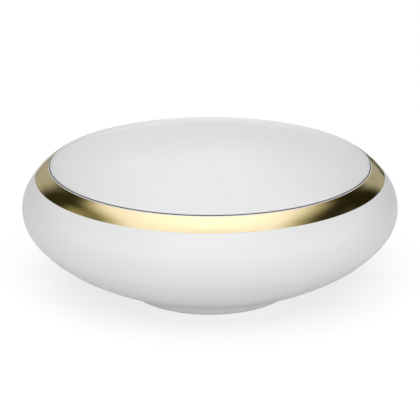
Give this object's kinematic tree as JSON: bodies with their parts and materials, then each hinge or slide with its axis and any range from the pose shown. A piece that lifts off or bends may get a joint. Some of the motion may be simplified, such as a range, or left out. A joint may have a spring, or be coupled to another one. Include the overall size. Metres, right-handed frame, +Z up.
{
  "type": "serving bowl",
  "caption": "Round shallow white porcelain serving bowl with an incurved shoulder, a satin gold band, a thin dark rim line and a low foot ring.",
  "frame": {"origin": "centre of the circle on which the foot ring rests", "axes": "+Z up along the bowl's axis of revolution; X and Y are equivalent"},
  "size_m": [0.26, 0.26, 0.0906],
  "materials": {
    "bare_porcelain": "matte",
    "clear_glaze": "gloss",
    "gold": "satin",
    "dark_enamel": "gloss"
  },
  "bodies": {
    "root": {"porcelain_body": "bare_porcelain", "clear_glaze_coat": "clear_glaze", "base_glaze": "clear_glaze", "gold_band": "gold", "rim_line": "dark_enamel"}
  },
  "joints": []
}
